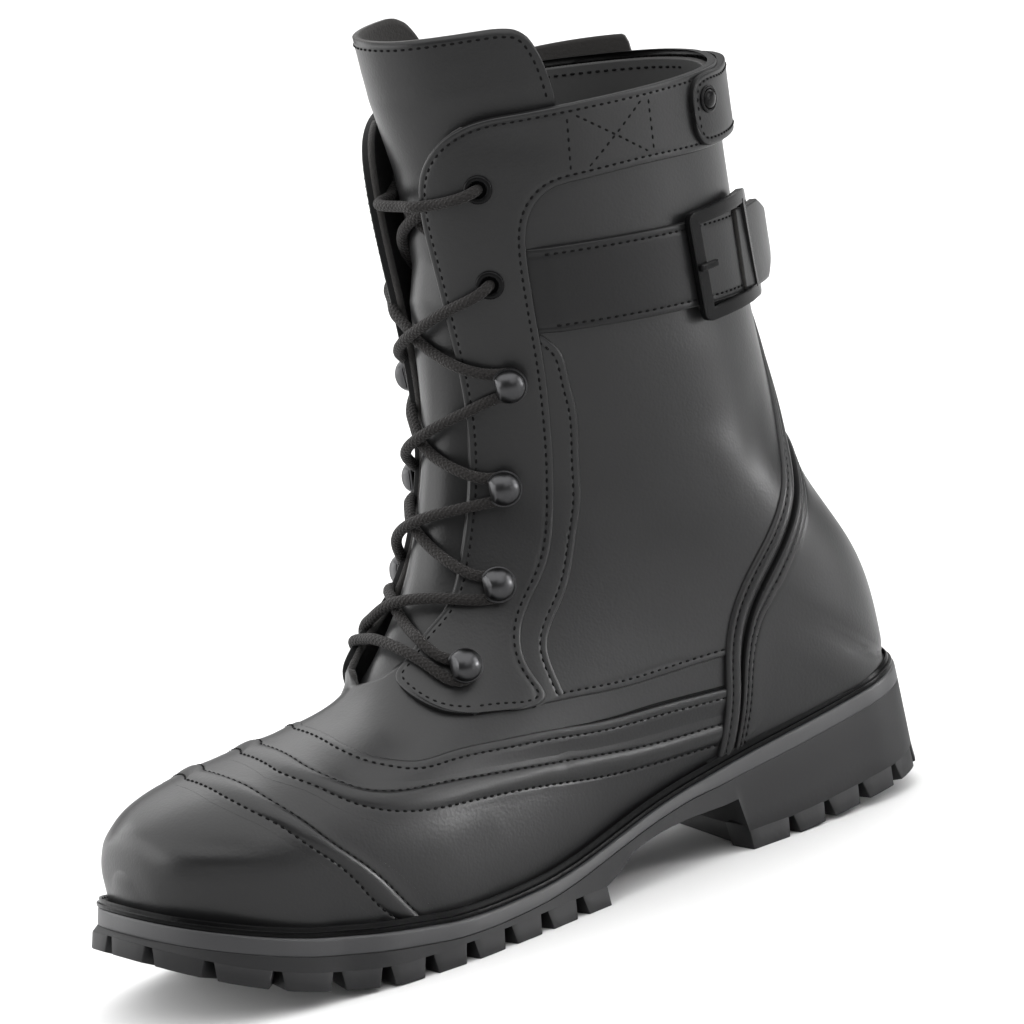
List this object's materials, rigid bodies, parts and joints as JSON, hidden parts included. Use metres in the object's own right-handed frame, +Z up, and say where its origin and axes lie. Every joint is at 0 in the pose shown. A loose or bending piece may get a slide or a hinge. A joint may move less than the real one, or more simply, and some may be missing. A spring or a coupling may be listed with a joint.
{
  "type": "motorcycle boot",
  "caption": "Black leather lace-up motorcycle boot for the left foot, with lugged rubber sole, ball lace hooks and a buckled ankle strap.",
  "frame": {"origin": "on the floor, below the middle of the boot's bounding box", "axes": "+X from the heel to the toe, +Y to the outer side of the left foot, +Z up"},
  "size_m": [0.2999, 0.1084, 0.2854],
  "materials": {
    "black_leather": "smooth semi-matte full-grain leather, fine grain, soft highlights on the curves",
    "band_rubber": "smooth satin grey rubber band between welt and tread",
    "sole_rubber": "matt dark grey moulded rubber",
    "welt": "glossy black stitched strip",
    "insole_cloth": "dark cloth-faced footbed",
    "gunmetal": "polished dark gunmetal plating",
    "black_metal": "black lacquered metal, satin",
    "lace_cord": "charcoal round braided cord, matt"
  },
  "bodies": {
    "root": {"back_tab": "black_leather", "buckle": "black_metal", "counter": "black_leather", "eyelet_inner_1": "black_metal", "eyelet_inner_2": "black_metal", "eyelet_outer_1": "black_metal", "eyelet_outer_2": "black_metal", "eyestay_inner": "black_leather", "eyestay_outer": "black_leather", "heel_seam": "black_leather", "hook_inner_3": "gunmetal", "hook_inner_4": "gunmetal", "hook_inner_5": "gunmetal", "hook_inner_6": "gunmetal", "hook_outer_3": "gunmetal", "hook_outer_4": "gunmetal", "hook_outer_5": "gunmetal", "hook_outer_6": "gunmetal", "insole": "insole_cloth", "lace_bar_low": "lace_cord", "lace_bar_top": "lace_cord", "lace_cross_1": "lace_cord", "lace_cross_2": "lace_cord", "lace_cross_3": "lace_cord", "lace_cross_4": "lace_cord", "lace_cross_5": "lace_cord", "midsole": "band_rubber", "outsole": "sole_rubber", "prong": "black_metal", "strap": "black_leather", "strap_end": "black_leather", "tab_rivet": "gunmetal", "toe_seam": "black_leather", "tongue": "black_leather", "upper": "black_leather", "vamp_seam": "black_leather", "welt": "welt"}
  },
  "joints": []
}
